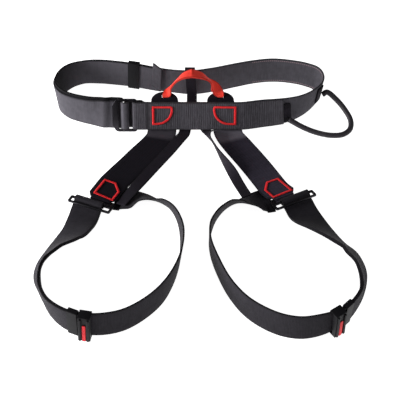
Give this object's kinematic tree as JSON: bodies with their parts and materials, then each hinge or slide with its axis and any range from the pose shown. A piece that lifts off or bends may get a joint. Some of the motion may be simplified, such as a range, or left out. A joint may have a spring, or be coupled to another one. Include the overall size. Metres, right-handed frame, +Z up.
{
  "type": "half body safety harness",
  "caption": "Webbing sit harness laid out on a surface: waist belt with steel buckle, belay loop between tie-in loops, gear loop, and buckled leg loops joined by straps.",
  "frame": {"origin": "on the floor, under the middle of the laid-out harness's box", "axes": "+Z up from the floor, +X along the front of the waist belt to the gear loop's side, +Y from the leg loops to the back of the belt"},
  "size_m": [0.4795, 0.5159, 0.0954],
  "materials": {
    "belt_webbing": "woven, matt",
    "panel_webbing": "ribbed weave, matt",
    "strap_webbing": "woven, matt",
    "belay_webbing": "woven, matt",
    "red_thread": "stitched",
    "steel": "dark satin",
    "keeper": "moulded",
    "keeper_stripe": "moulded",
    "gear_sleeve": "smooth sleeve"
  },
  "bodies": {
    "root": {"waist_belt": "belt_webbing", "belt_tail": "belt_webbing", "belt_tail_end": "belt_webbing", "front_panel": "panel_webbing", "buckle_frame": "steel", "belt_keeper": "keeper", "d_stitch_left": "red_thread", "d_stitch_right": "red_thread", "tie_in_loop_left": "strap_webbing", "tie_in_loop_right": "strap_webbing", "belay_loop": "belay_webbing", "leg_loop_left": "belt_webbing", "leg_tail_left": "belt_webbing", "leg_buckle_left": "steel", "leg_strap_left": "strap_webbing", "pentagon_stitch_left": "red_thread", "leg_keeper_left": "keeper", "leg_elastic_left": "strap_webbing", "leg_keeper_stripe_left": "keeper_stripe", "leg_loop_right": "belt_webbing", "leg_tail_right": "belt_webbing", "leg_buckle_right": "steel", "leg_strap_right": "strap_webbing", "pentagon_stitch_right": "red_thread", "leg_keeper_right": "keeper", "leg_elastic_right": "strap_webbing", "leg_keeper_stripe_right": "keeper_stripe", "riser_stem": "strap_webbing", "riser_left": "strap_webbing", "riser_right": "strap_webbing", "gear_tab_front": "strap_webbing", "gear_tab_rear": "strap_webbing", "gear_loop": "gear_sleeve"}
  },
  "joints": []
}
